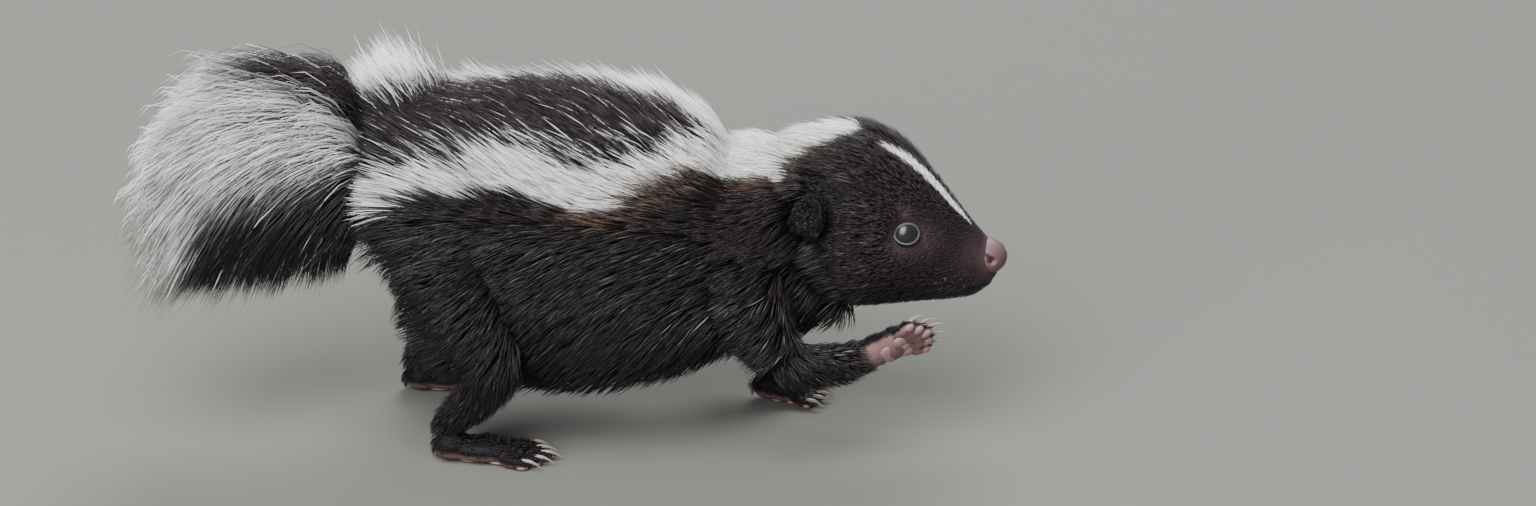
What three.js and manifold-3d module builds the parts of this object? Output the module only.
// A young striped skunk at life size, caught in mid stride with its right forepaw lifted, as a still model.
// Millimetres, +Z up. The animal faces +X and its left side is +Y. The origin is on the floor below it.
import * as THREE from "three";
import { mergeVertices } from "three/addons/utils/BufferGeometryUtils.js";
import Module from "manifold-3d";

const wasm = await Module();
wasm.setup();

// Driving dimensions
const GAP = 0.3; // between nodes that touch
const BODY_TOP = 114; // highest point of the back under the long coat
const BODY_HALF_WIDTH = 42;
const NECK_CUT = { x: 62, z: 100, lean: 0.33 }; // plane between torso and neck
const HEAD_CUT = { x: 74, z: 106, lean: 0.45 }; // plane between neck and head
const HEAD_PIVOT = [84, 0, 78];
const HEAD_YAW = -8; // degrees, towards the animal's right
const HEAD_ROLL = 6;
const EYE = { x: 115.5, y: 18.4, z: 78.5, r: 4.7 };
const NOSE = { x: 142.6, z: 62.2, r: [5, 5.4, 5.1] };
const EAR = { x: 86, y: 24.2, z: 87.5, r: [5.4, 3.8, 7.6] };
const BACK_LOCK = { length: 25, width: 14.5, thick: 3.2, lean: 38, side: 16 };
const TAIL_CORE = 13.5; // radius of the tail's dense under-coat

// Trunk stations: x, top, bottom, half width
const TRUNK = [
  [-63, 88, 84, 2],
  [-59, 97, 71, 15],
  [-53.5, 102, 56, 25],
  [-44, 107, 38, 34],
  [-32, 111, 24, 39],
  [-15, 113.5, 16, 41.5],
  [5, BODY_TOP, 13.5, BODY_HALF_WIDTH],
  [22, 112, 15, 41],
  [38, 107, 19, 39],
  [52, 100, 25, 36],
  [64, 96.5, 30, 33],
  [76, 98, 32, 29],
  [87, 93, 35, 24],
  [95, 74, 39, 18],
  [99, 58, 50, 3],
];

// Head stations: x, top, bottom, half width, in the head's own unturned frame
const HEAD = [
  [70, 86, 70, 5],
  [74, 97, 57, 16],
  [80, 101, 51, 22],
  [88, 103, 48, 25.5],
  [96, 104.5, 47, 26],
  [104, 104, 47, 24.8],
  [111, 101, 47.2, 22.2],
  [117, 96.5, 47.5, 19],
  [123, 90.5, 47.8, 15.6],
  [129, 83.5, 48.2, 12.4],
  [134.5, 76.8, 49.4, 9.8],
  [139, 71.5, 51.6, 7.8],
  [142.5, 68, 55, 5.8],
  [144.5, 65.5, 58.5, 3],
];

// Tail core line: x, y, z, radius
const TAIL = [
  [-56, 0, 88.5, 10],
  [-69, -1, 93.5, 12.5],
  [-82, -2, 97, TAIL_CORE],
  [-94, -3.5, 97.5, TAIL_CORE],
  [-104, -5, 95, 12.5],
  [-112, -6, 90, 10.5],
  [-118, -6.5, 84, 4],
];
const TAIL_BRUSH = [
  // x, top, bottom, half width, to the tips of the hair
  [-52, 126, 78, 13],
  [-60, 131, 64, 20],
  [-70, 132, 57, 24],
  [-80, 132, 53.5, 27],
  [-95, 131.5, 51, 29],
  [-110, 131, 51, 30],
  [-122, 127.5, 51.5, 28],
  [-131, 119, 52, 23.5],
  [-139, 102, 66, 14],
  [-143, 92, 84, 4],
];
const TAIL_CUTS = [0.08, 0.38, 0.66]; // shares of the core's length where the three nodes start
const RUMP_TUFT = { x: -54, length: 34 };

// Legs: joints as x, y, z and radius across and along, from the top down
const LEGS = {
  hind_right: {
    path: [
      [-36, -24, 74, 16, 17],
      [-30, -29, 57, 15, 16],
      [-22, -32, 41, 11, 11.5],
      [-26, -31, 26, 8, 8.6],
      [-36, -28, 14, 5.6, 6.6],
      [-39, -28, 7, 4.6, 5.8],
    ],
    bulk: { at: [-33, -27.5, 53], r: [19, 14, 25] },
    cut: 0.47,
    foot: { x: -37, y: -28, turn: -4, length: 37 },
  },
  hind_left: {
    path: [
      [-40, 24, 74, 16, 17],
      [-36, 29, 57, 15, 16],
      [-31, 32, 41, 11, 11.5],
      [-37, 31, 26, 8, 8.6],
      [-48, 28, 14, 5.6, 6.6],
      [-51, 28, 7, 4.6, 5.8],
    ],
    bulk: { at: [-39, 27.5, 53], r: [19, 14, 25] },
    cut: 0.47,
    foot: { x: -49.3, y: 28.2, turn: 7, length: 36.6 },
  },
  fore_right: {
    path: [
      [60, -20, 72, 13, 15],
      [63, -26, 57, 12.5, 13],
      [69, -29.5, 44, 10.5, 9.5],
      [77, -31, 36.5, 9.2, 7.8],
      [90, -30, 35, 7, 7.4],
      [101, -29, 38, 5.2, 6.2],
      [104, -28.6, 39, 4.6, 5.4],
    ],
    bulk: { at: [63, -24, 56], r: [15, 12, 20] },
    cut: 0.5,
    foot: null,
  },
  fore_left: {
    path: [
      [60, 20, 72, 13, 15],
      [58, 25, 55, 12.5, 13],
      [55, 27.5, 39, 10.5, 10.5],
      [60, 25.5, 26, 8.6, 9],
      [68, 21, 14, 5.8, 6.8],
      [70, 20, 8, 5, 5.6],
    ],
    bulk: { at: [59, 23, 55], r: [15, 12, 19] },
    cut: 0.5,
    foot: { x: 68, y: 20, turn: -6, length: 23 },
  },
};
const LIFTED_PAW = { at: [103, -28.7, 38.6], pitch: -30, yaw: 4, roll: -62, length: 25 };
const TOES = { fore: [0.8, 0.95, 1, 0.95, 0.78], hind: [0.72, 0.92, 1, 0.96, 0.84] };

const COLOURS = { black: 0x1b1719, white: 0xe6e1dc, nose: 0x5c4044, eye: 0x07080a, paw: 0x4a3638 };
const finish = (color, roughness) => new THREE.MeshStandardMaterial({ color, roughness, metalness: 0 });

// A named set of stations as smooth functions of its first column
function stations(rows) {
  const width = rows[0].length - 1;
  const knots = rows.map((row) => row[0]);
  const values = rows.flatMap((row) => row.slice(1));
  const curve = new THREE.CubicInterpolant(knots, values, width, new Array(width));
  return (t) => [...curve.evaluate(THREE.MathUtils.clamp(t, knots[0], knots[knots.length - 1]))];
}

// A closed surface made from a sphere: place(t, angle) gives the point at share t of its length
function wrapped(around, along, place) {
  const shape = new THREE.SphereGeometry(1, around, along);
  const point = shape.getAttribute("position");
  for (let i = 0; i < point.count; i++) {
    const row = Math.floor(i / (around + 1));
    const angle = ((i % (around + 1)) % around) * ((2 * Math.PI) / around);
    point.setXYZ(i, ...place(row / along, angle, row === 0 || row === along));
  }
  return shape;
}

// A closed, merged geometry as a manifold solid that faces outwards
function solid(shape) {
  const bare = shape.clone();
  bare.deleteAttribute("normal");
  bare.deleteAttribute("uv");
  const merged = mergeVertices(bare, 1e-3);
  const index = [...merged.index.array];
  const faces = [];
  for (let i = 0; i < index.length; i += 3) {
    const [a, b, c] = index.slice(i, i + 3);
    if (a !== b && b !== c && c !== a) faces.push(a, b, c);
  }
  const build = (triVerts) =>
    new wasm.Manifold(
      new wasm.Mesh({ numProp: 3, vertProperties: merged.attributes.position.array, triVerts }),
    );
  const made = build(new Uint32Array(faces));
  if (made.volume() > 0) return made;
  for (let i = 0; i < faces.length; i += 3) [faces[i + 1], faces[i + 2]] = [faces[i + 2], faces[i + 1]];
  return build(new Uint32Array(faces));
}

const largest = (made) => made.decompose().reduce((a, b) => (b.volume() > a.volume() ? b : a));
const joined = (first, pieces) => pieces.reduce((sum, piece) => sum.add(piece), first);

function ball(at, radii, around = 12, along = 8, turn = null) {
  const shape = new THREE.SphereGeometry(1, around, along);
  const place = new THREE.Matrix4().compose(
    new THREE.Vector3(...at),
    new THREE.Quaternion().setFromEuler(new THREE.Euler(...(turn ?? [0, 0, 0]))),
    new THREE.Vector3(...radii),
  );
  return solid(shape.applyMatrix4(place));
}

// The side of a leaning plane through (x, z) that looks towards +X, moved forward by shift
function frontOf({ x, z, lean }, shift) {
  const size = 400;
  const normal = new THREE.Vector3(1, 0, lean).normalize();
  const box = new THREE.BoxGeometry(size, size, size);
  const turn = new THREE.Quaternion().setFromUnitVectors(new THREE.Vector3(1, 0, 0), normal);
  const middle = new THREE.Vector3(x, 0, z).addScaledVector(normal, size / 2 + shift);
  box.applyMatrix4(new THREE.Matrix4().compose(middle, turn, new THREE.Vector3(1, 1, 1)));
  return solid(box);
}

// Trunk

const trunkAt = stations(TRUNK);
const headAt = stations(HEAD);

// Superellipse section that is a little square, so that the back and the crown are broad
function section(top, bottom, half, angle, square, grow) {
  const c = Math.cos(angle);
  const s = Math.sin(angle);
  const power = 2 / square;
  const y = Math.sign(c) * Math.abs(c) ** power * (half + grow);
  const rise = Math.sign(s) * Math.abs(s) ** power * ((top - bottom) / 2 + grow);
  return [y, (top + bottom) / 2 + rise];
}

function trunkPoint(t, angle, grow = 0, pole = false) {
  const [first, last] = [TRUNK[0][0], TRUNK[TRUNK.length - 1][0]];
  const x = first + (last - first) * (0.5 - 0.5 * Math.cos(Math.PI * t));
  const [top, bottom, half] = trunkAt(x);
  if (pole) return [x - Math.sign(0.5 - t) * (1.5 + grow), 0, (top + bottom) / 2];
  const [y, z] = section(top, bottom, Math.max(half, 0.5), angle, 2.15, grow);
  return [x, y, z];
}

const headTurn = new THREE.Matrix4()
  .makeTranslation(...HEAD_PIVOT)
  .multiply(new THREE.Matrix4().makeRotationZ(THREE.MathUtils.degToRad(HEAD_YAW)))
  .multiply(new THREE.Matrix4().makeRotationX(THREE.MathUtils.degToRad(HEAD_ROLL)))
  .multiply(new THREE.Matrix4().makeTranslation(...HEAD_PIVOT.map((v) => -v)));
const turned = (point) => new THREE.Vector3(...point).applyMatrix4(headTurn).toArray();

// Soft swellings and hollows of the face, as pushes along the section's own direction
function faceRelief(x, y, z) {
  const near = (cx, cy, cz, size) =>
    Math.exp(-((x - cx) ** 2 + (Math.abs(y) - cy) ** 2 + (z - cz) ** 2) / size ** 2);
  const cheek = 1.6 * near(100, 24, 66, 11);
  const brow = 0.9 * near(112, 15, 86, 6);
  const socket = -1.7 * near(EYE.x, EYE.y, EYE.z, 5.5);
  const whiskerPad = 1.5 * near(134, 9, 60, 6);
  const chin = 0.6 * near(136, 3, 51, 4);
  return cheek + brow + socket + whiskerPad + chin;
}

function headPoint(t, angle, grow = 0, pole = false) {
  const [first, last] = [HEAD[0][0], HEAD[HEAD.length - 1][0]];
  const x = first + (last - first) * (0.5 - 0.5 * Math.cos(Math.PI * t));
  const [top, bottom, half] = headAt(x);
  const middle = (top + bottom) / 2;
  if (pole) return turned([x - Math.sign(0.5 - t) * (0.8 + grow), 0, middle]);
  const [y0, z0] = section(top, bottom, Math.max(half, 0.5), angle, 2.2, grow);
  const reach = Math.hypot(y0, z0 - middle) || 1;
  const push = 1 + faceRelief(x, y0, z0) / reach;
  return turned([x, y0 * push, middle + (z0 - middle) * push]);
}

const trunkSolid = (grow, around = 26, along = 18) =>
  solid(wrapped(around, along, (t, angle, pole) => trunkPoint(t, angle, grow, pole)));
const headSolid = (grow, around = 26, along = 24) =>
  solid(wrapped(around, along, (t, angle, pole) => headPoint(t, angle, grow, pole)));

// Locks: flat, tapered and bent, made from four-sided cones. rooted at root, through middle, to tip.
function lock(root, middle, tip, face, width, thick, steps = 3) {
  const shape = new THREE.ConeGeometry(1, 1, 4, steps);
  const curve = new THREE.QuadraticBezierCurve3(root, middle, tip);
  const point = shape.getAttribute("position");
  for (let i = 0; i < point.count; i++) {
    const t = point.getY(i) + 0.5;
    const along = curve.getTangentAt(t);
    const across = new THREE.Vector3().crossVectors(along, face).normalize();
    const out = new THREE.Vector3().crossVectors(across, along);
    const taper = t > 0.999 ? 0 : 1 - t;
    const swell = taper > 0 ? (0.6 + 1.6 * t - 1.1 * t * t) / taper ** 0.65 : 0;
    const place = curve.getPointAt(t);
    place.addScaledVector(across, (point.getX(i) * swell * width) / 2);
    place.addScaledVector(out, (point.getZ(i) * swell * thick) / 2);
    point.setXYZ(i, place.x, place.y, place.z);
  }
  return solid(shape);
}

// A repeatable draw from 0 to 1
let drawn = 7;
function draw() {
  drawn = (drawn * 16807) % 2147483647;
  return drawn / 2147483647;
}
const spread = (amount) => (draw() - 0.5) * 2 * amount;

const vector = (point) => new THREE.Vector3(...point);

// Surface point and outward direction of the trunk at share t and angle
function trunkFrame(t, angle) {
  const step = 0.01;
  const at = vector(trunkPoint(t, angle));
  const forward = vector(trunkPoint(t + step, angle)).sub(vector(trunkPoint(t - step, angle))).normalize();
  const across = vector(trunkPoint(t, angle + step)).sub(vector(trunkPoint(t, angle - step))).normalize();
  const out = new THREE.Vector3().crossVectors(forward, across).negate();
  if (out.dot(new THREE.Vector3(0, at.y, at.z - 65)) < 0) out.negate();
  return { at, forward, out };
}

// Share of the trunk's length at a given x
function trunkShare(x) {
  const [first, last] = [TRUNK[0][0], TRUNK[TRUNK.length - 1][0]];
  return Math.acos(1 - (2 * (x - first)) / (last - first)) / Math.PI;
}

// Rows of locks over the back, from the rump to the nape: they stand up and sweep back
function backLocks(from, to, count) {
  const made = [];
  const columns = [-62, -40, -18, 4, 26, 48];
  for (let row = 0; row < count; row++) {
    const x = from + ((to - from) * row) / (count - 1);
    columns.forEach((column, k) => {
      const shift = row % 2 ? 11 : 0;
      const angle = THREE.MathUtils.degToRad(90 + column + shift + spread(3));
      const { at, forward, out } = trunkFrame(trunkShare(x + spread(1.5)), angle);
      const nape = THREE.MathUtils.smoothstep(x, 56, 72);
      const length = BACK_LOCK.length * (1 - 0.42 * nape) * (1 + spread(0.12));
      const side = Math.abs(Math.cos(angle));
      const lift = THREE.MathUtils.degToRad(BACK_LOCK.lean + BACK_LOCK.side * side * side + spread(5));
      const back = forward.clone().negate().addScaledVector(new THREE.Vector3(0, 0, 1), 0.55 * side);
      back.addScaledVector(out, -back.dot(out)).normalize();
      const rise = back.clone().multiplyScalar(Math.cos(lift)).addScaledVector(out, Math.sin(lift));
      const root = at.clone().addScaledVector(out, -2.6).addScaledVector(back, -2);
      const middle = root.clone().addScaledVector(rise, length * 0.55);
      const tip = middle.clone().addScaledVector(back, length * 0.42).addScaledVector(out, length * 0.12);
      made.push(lock(root, middle, tip, out, BACK_LOCK.width * (1 - 0.25 * nape), BACK_LOCK.thick, 2));
    });
  }
  return made;
}

// The raised tuft over the root of the tail, whose locks stand nearly upright
function rumpTuft() {
  const made = [];
  for (let i = 0; i < 8; i++) {
    const angle = THREE.MathUtils.degToRad(90 - (i - 3.5) * 9);
    const { at, out } = trunkFrame(trunkShare(RUMP_TUFT.x + (i % 2) * 5), angle);
    const up = out.clone().multiplyScalar(0.5).add(new THREE.Vector3(-0.25 - 0.05 * i, 0.12, 1)).normalize();
    const length = RUMP_TUFT.length * (1 + spread(0.12));
    const root = at.clone().addScaledVector(out, -3);
    const middle = root.clone().addScaledVector(up, length * 0.55);
    const tip = middle.clone().addScaledVector(up, length * 0.42).add(new THREE.Vector3(-4, 0, 0));
    made.push(lock(root, middle, tip, new THREE.Vector3(1, 0, 0.2), 9.5, 3, 2));
  }
  return made;
}

// Legs

function limbFrame(curve, t) {
  const along = curve.getTangent(THREE.MathUtils.clamp(t, 0.01, 0.99)).normalize();
  const across = new THREE.Vector3(0, 1, 0).addScaledVector(along, -along.y).normalize();
  const front = new THREE.Vector3().crossVectors(across, along);
  return { at: curve.getPoint(t), along, across, front };
}

function limb({ path, bulk }, grow = 0, around = 10, along = 9) {
  const curve = new THREE.CatmullRomCurve3(path.map((row) => new THREE.Vector3(...row.slice(0, 3))));
  const size = stations(path.map((row, i) => [i / (path.length - 1), row[3], row[4]]));
  const shaft = solid(
    wrapped(around, along, (share, angle, pole) => {
      const t = 0.5 - 0.5 * Math.cos(Math.PI * share);
      const { at, across, front } = limbFrame(curve, t);
      const [wide, deep] = size(t);
      const round = pole ? 0 : Math.sqrt(Math.min(1, Math.sin(Math.PI * t) * 4));
      at.addScaledVector(across, Math.cos(angle) * (wide + grow) * round);
      at.addScaledVector(front, Math.sin(angle) * (deep + grow) * round);
      return at.toArray();
    }),
  );
  return shaft.add(ball(bulk.at, bulk.r.map((r) => r + grow), 10, 6));
}

// A big box whose lower face cuts a limb square at share t, on its upper or lower side
function limbCut(path, t, shift, upper) {
  const curve = new THREE.CatmullRomCurve3(path.map((row) => new THREE.Vector3(...row.slice(0, 3))));
  const { at, along } = limbFrame(curve, t);
  const size = 120;
  const box = new THREE.BoxGeometry(size, size, size);
  const away = along.clone().multiplyScalar(upper ? -1 : 1);
  const turn = new THREE.Quaternion().setFromUnitVectors(new THREE.Vector3(0, 0, 1), away);
  const middle = at.addScaledVector(away, size / 2 + shift);
  return solid(box.applyMatrix4(new THREE.Matrix4().compose(middle, turn, new THREE.Vector3(1, 1, 1))));
}

// A paw in its own frame: wrist over the origin, toes towards +X and the sole at z = 0
function paw(kind, length, left) {
  const hind = kind === "hind";
  const lift = hind ? 4.2 : 4.4;
  const halfWidth = length * (hind ? 0.19 : 0.27);
  const palm = length * (hind ? 0.36 : 0.3);
  const body = ball([palm * 0.92, 0, lift * 0.95], [palm * 1.08, halfWidth, lift * 1.12], 10, 6);
  const pieces = [ball([palm * 0.1, 0, lift * 1.2], [halfWidth, halfWidth * 0.9, lift * 1.25], 8, 4)];
  const claws = [];
  TOES[kind].forEach((share, i) => {
    const across = (i - 2) / 2;
    const fan = across * 0.22;
    const side = left ? 1 : -1;
    const reach = length * 0.3 * share;
    const base = [palm * 1.62 - Math.abs(across) * palm * 0.22, -side * across * halfWidth * 0.86];
    const heading = -side * fan;
    const middle = [base[0] + Math.cos(heading) * reach * 0.5, base[1] + Math.sin(heading) * reach * 0.5];
    const toeRadius = halfWidth * 0.32;
    const toe = [reach * 0.72, toeRadius, toeRadius * 1.2];
    pieces.push(ball([...middle, toeRadius * 1.05], toe, 6, 4, [0, 0, heading]));
    const clawLength = length * (hind ? 0.15 : 0.22);
    const ahead = new THREE.Vector3(Math.cos(heading), Math.sin(heading), 0);
    const start = new THREE.Vector3(...base, toeRadius * 1.5).addScaledVector(ahead, reach);
    const bend = start.clone().addScaledVector(ahead, clawLength * 0.6).setZ(toeRadius * 1.6);
    const tip = start.clone().addScaledVector(ahead, clawLength * 1.05).setZ(0.35);
    start.addScaledVector(ahead, -reach * 0.3);
    claws.push(lock(start, bend, tip, new THREE.Vector3(0, 0, 1), 1.25, 1.7, 2));
  });
  return joined(body, [...pieces, ...claws]);
}

function placed(made, at, turn) {
  const place = new THREE.Matrix4().compose(
    new THREE.Vector3(...at),
    new THREE.Quaternion().setFromEuler(new THREE.Euler(...turn.map(THREE.MathUtils.degToRad), "ZYX")),
    new THREE.Vector3(1, 1, 1),
  );
  return made.transform(place.toArray());
}

// Tail

const tailCurve = new THREE.CatmullRomCurve3(TAIL.map((row) => new THREE.Vector3(...row.slice(0, 3))));
const tailSize = stations(TAIL.map((row, i) => [i / (TAIL.length - 1), row[3]]));

function tailCore(grow = 0) {
  return solid(
    wrapped(12, 16, (share, angle, pole) => {
      const t = 0.5 - 0.5 * Math.cos(Math.PI * share);
      const { at, across, front } = limbFrame(tailCurve, t);
      const round = pole ? 0 : Math.sqrt(Math.min(1, Math.sin(Math.PI * t) * 5));
      const radius = (tailSize(t)[0] + grow) * round;
      at.addScaledVector(across, Math.cos(angle) * radius);
      return at.addScaledVector(front, Math.sin(angle) * radius).toArray();
    }),
  );
}

// The brush out to the tips of its hair
const brushRows = [...TAIL_BRUSH].reverse();
const brushAt = stations(brushRows);
const brushSway = (x) => (-7 * (-50 - x)) / 70;

// All of the tail beyond a cone that opens backwards from share t, as its locks do
function beyond(t, shift) {
  const { at, along } = limbFrame(tailCurve, t);
  const height = 160;
  const radius = height * Math.tan(THREE.MathUtils.degToRad(62));
  const cone = new THREE.ConeGeometry(radius, height, 16, 1);
  const turn = new THREE.Quaternion().setFromUnitVectors(new THREE.Vector3(0, -1, 0), along);
  const apex = at.addScaledVector(along, -9 + shift / Math.sin(THREE.MathUtils.degToRad(62)));
  const middle = apex.addScaledVector(along, height / 2);
  return solid(cone.applyMatrix4(new THREE.Matrix4().compose(middle, turn, new THREE.Vector3(1, 1, 1))));
}

// A point of the brush's surface at x, at an angle round it from the animal's left over the top
function brushPoint(x, angle) {
  const [top, bottom, half] = brushAt(x);
  const [y, z] = section(top, bottom, half, angle, 2, 0);
  return new THREE.Vector3(x, y + brushSway(x), z);
}

// Rings of long locks round the tail: each leans back from its core and ends on the brush's surface
function tailLocks(from, to, rings, perRing) {
  const made = [];
  for (let ring = 0; ring < rings; ring++) {
    const t = from + ((to - from) * ring) / Math.max(1, rings - 1);
    const { at, along, across, front } = limbFrame(tailCurve, t);
    const radius = tailSize(t)[0];
    for (let k = 0; k < perRing; k++) {
      const angle = ((k + (ring % 2) / 2) / perRing) * 2 * Math.PI + spread(0.08);
      const out = across.clone().multiplyScalar(Math.cos(angle)).addScaledVector(front, Math.sin(angle));
      const turn = Math.atan2(out.z, out.y);
      const reach = (out.z > 0 ? 25 : 25 - 9 * Math.abs(out.z)) * (1 + spread(0.1));
      const tip = brushPoint(Math.max(at.x - reach, -141), turn);
      const root = at.clone().addScaledVector(out, radius * 0.62).addScaledVector(along, -2);
      const length = tip.distanceTo(root);
      const middle = root.clone().lerp(tip, 0.5).addScaledVector(out, length * 0.1);
      made.push(lock(root, middle, tip, out, 19 - 2 * t, 3.4, 3));
    }
  }
  return made;
}

// Assembly

const model = new THREE.Group();
model.name = "striped_skunk";
const materials = {
  black: finish(COLOURS.black, 0.85),
  white: finish(COLOURS.white, 0.85),
  nose: finish(COLOURS.nose, 0.4),
  eye: finish(COLOURS.eye, 0.05),
  paw: finish(COLOURS.paw, 0.6),
};

// Triangles of a solid with slivers shorter than a few thousandths closed up
function tidied(made) {
  const found = made.getMesh();
  const point = new Float32Array(found.numVert * 3);
  for (let i = 0; i < found.numVert; i++) {
    point.set(found.vertProperties.subarray(i * found.numProp, i * found.numProp + 3), i * 3);
  }
  const shape = new THREE.BufferGeometry();
  shape.setAttribute("position", new THREE.BufferAttribute(point, 3));
  shape.setIndex(new THREE.BufferAttribute(found.triVerts, 1));
  const merged = mergeVertices(shape, 4e-3);
  const corners = merged.index.array;
  const faces = [];
  for (let i = 0; i < corners.length; i += 3) {
    const [a, b, c] = [corners[i], corners[i + 1], corners[i + 2]];
    if (a !== b && b !== c && c !== a) faces.push(a, b, c);
  }
  merged.setIndex(faces);
  merged.computeVertexNormals();
  return merged;
}

function addNode(name, made, material) {
  const mesh = new THREE.Mesh(tidied(largest(made)), material);
  mesh.name = name;
  model.add(mesh);
}

const floorUp = solid(new THREE.BoxGeometry(600, 400, 400).translate(0, 0, 200));

// Legs and paws come first: the trunk is cut to fit them
const limbCutters = [];
for (const [name, leg] of Object.entries(LEGS)) {
  const side = Math.sign(leg.path[0][1]);
  const inner = new THREE.BoxGeometry(400, 400, 400).translate(0, side * 204, 0);
  const own = limb(leg).intersect(solid(inner));
  limbCutters.push(limb(leg, GAP).intersect(solid(inner.clone().translate(0, -side * GAP, 0))));
  const upper = own.intersect(limbCut(leg.path, leg.cut, GAP / 2, true));
  const kind = name.startsWith("hind") ? "hind" : "fore";
  const end = kind === "hind" ? 0.9 : 0.93;
  const whole = own.intersect(limbCut(leg.path, leg.cut, GAP / 2, false)).intersect(floorUp);
  const lower = whole.intersect(limbCut(leg.path, end, GAP, true));
  let foot;
  if (leg.foot) {
    const { x, y, turn, length } = leg.foot;
    foot = placed(paw(kind, length, side > 0), [x, y, 0], [0, 0, turn]).intersect(floorUp);
  } else {
    const { at, pitch, yaw, roll, length } = LIFTED_PAW;
    foot = placed(paw(kind, length, false).translate([0, 0, -5]), at, [roll, pitch, yaw]);
  }
  foot = foot.subtract(limbCut(leg.path, end, 0, true));
  addNode(`leg_${name}_upper`, upper, materials.black);
  addNode(`leg_${name}_lower`, lower, materials.black);
  addNode(`paw_${name}`, foot, materials.paw);
}

// Ears, eyes and nose sit in the head's own turned frame
const head = headSolid(0);
const headCutter = headSolid(GAP);
const trunk = trunkSolid(0);
const trunkCutter = trunkSolid(GAP);
const sides = { right: -1, left: 1 };
const faceTurn = (made) => made.transform(headTurn.toArray());
const sockets = [];
const lids = [];
const earCutters = [];
for (const [name, side] of Object.entries(sides)) {
  const earTurn = [side * 0.35, 0, side * 0.5];
  const cup = ball([EAR.x + 2.4, side * (EAR.y + 2.6), EAR.z + 0.8], [3.4, 2.8, 5.2], 8, 6, earTurn);
  const ear = faceTurn(ball([EAR.x, side * EAR.y, EAR.z], EAR.r, 12, 8, earTurn).subtract(cup));
  earCutters.push(faceTurn(ball([EAR.x, side * EAR.y, EAR.z], EAR.r.map((r) => r + GAP), 12, 8, earTurn)));
  addNode(`ear_${name}`, ear.subtract(headCutter).subtract(trunkCutter), materials.black);
  const centre = [EYE.x, side * (EYE.y - 3.1), EYE.z];
  sockets.push(faceTurn(ball(centre, [EYE.r + GAP, EYE.r + GAP, EYE.r + GAP], 12, 8)));
  const rim = new THREE.TorusGeometry(4.5, 0.85, 4, 12).scale(1, 0.84, 1.2);
  rim.rotateX(Math.PI / 2);
  rim.applyMatrix4(new THREE.Matrix4().makeRotationZ(-side * 0.42));
  rim.applyMatrix4(new THREE.Matrix4().makeRotationX(side * 0.12));
  rim.translate(EYE.x + 0.7, side * (EYE.y - 0.6), EYE.z + 0.3);
  lids.push(faceTurn(solid(rim)));
  addNode(`eye_${name}`, faceTurn(ball(centre, [EYE.r, EYE.r, EYE.r], 12, 8)), materials.eye);
}

// The nose pad with its two nostrils
let nose = ball([NOSE.x, 0, NOSE.z], NOSE.r, 12, 8);
for (const side of [-1, 1]) {
  nose = nose.subtract(ball([NOSE.x + 3.6, side * 3, NOSE.z - 0.6], [1.8, 1.7, 1.1], 6, 4));
}
const noseCutter = faceTurn(ball([NOSE.x, 0, NOSE.z], NOSE.r.map((r) => r + GAP), 12, 8));
addNode("nose", faceTurn(nose).subtract(headCutter), materials.nose);

// The closed mouth is a thin slot that runs back under the whisker pads, below a small upper lip
const mouthCurve = new THREE.CatmullRomCurve3([
  new THREE.Vector3(120, -19, 56.5),
  new THREE.Vector3(128, -13.4, 55.2),
  new THREE.Vector3(135, -9.6, 55.4),
  new THREE.Vector3(140.6, -4.2, 56.4),
  new THREE.Vector3(142.6, 0, 57.2),
  new THREE.Vector3(140.6, 4.2, 56.4),
  new THREE.Vector3(135, 9.6, 55.4),
  new THREE.Vector3(128, 13.4, 55.2),
  new THREE.Vector3(120, 19, 56.5),
]);
const slot = new THREE.Shape().moveTo(-0.45, -1.8).lineTo(0.45, -1.8).lineTo(0.45, 1.8).lineTo(-0.45, 1.8);
const mouthLine = faceTurn(
  solid(new THREE.ExtrudeGeometry(slot, { steps: 14, bevelEnabled: false, extrudePath: mouthCurve })),
);

const whole = trunk.add(head);
const headNode = joined(whole.intersect(frontOf(HEAD_CUT, GAP / 2)), lids)
  .subtract(joined(sockets[0], [sockets[1]]))
  .subtract(noseCutter.intersect(headCutter))
  .subtract(mouthLine);
addNode("head", headNode, materials.black);

const legsOut = joined(limbCutters[0], limbCutters.slice(1));
const neckBase = whole.subtract(frontOf(HEAD_CUT, -GAP / 2)).intersect(frontOf(NECK_CUT, GAP / 2));
const torsoBase = whole.subtract(frontOf(NECK_CUT, -GAP / 2));
const torsoCoat = [...backLocks(-52, 60, 8), ...rumpTuft()];
const napeCoat = backLocks(74, 84, 2);
addNode(
  "neck",
  joined(neckBase, napeCoat)
    .subtract(frontOf(HEAD_CUT, -GAP / 2))
    .intersect(frontOf(NECK_CUT, GAP / 2))
    .subtract(legsOut)
    .subtract(joined(earCutters[0], [earCutters[1]])),
  materials.white,
);

// The tail's first node starts behind a cone, so the rump keeps the rest
const tailWhole = tailCore();
const starts = TAIL_CUTS.map((t) => beyond(t, GAP));
const ends = TAIL_CUTS.map((t) => beyond(t, 0));
addNode(
  "torso",
  joined(torsoBase, torsoCoat)
    .subtract(frontOf(NECK_CUT, -GAP / 2))
    .subtract(ends[0])
    .subtract(legsOut),
  materials.black,
);
const tailCoats = [tailLocks(0.18, 0.38, 3, 8), tailLocks(0.46, 0.66, 3, 8), tailLocks(0.74, 0.97, 3, 7)];
["tail_base", "tail_middle", "tail_tip"].forEach((name, i) => {
  let part = joined(tailWhole, tailCoats[i]);
  for (const start of starts.slice(0, i + 1)) part = part.intersect(start);
  if (i < 2) part = part.subtract(ends[i + 1]);
  addNode(name, part, i === 0 ? materials.black : materials.white);
});

// The origin goes to the floor below the middle of the whole animal
const bounds = new THREE.Box3().setFromObject(model);
model.position.set(-(bounds.min.x + bounds.max.x) / 2, -(bounds.min.y + bounds.max.y) / 2, -bounds.min.z);

export default model;
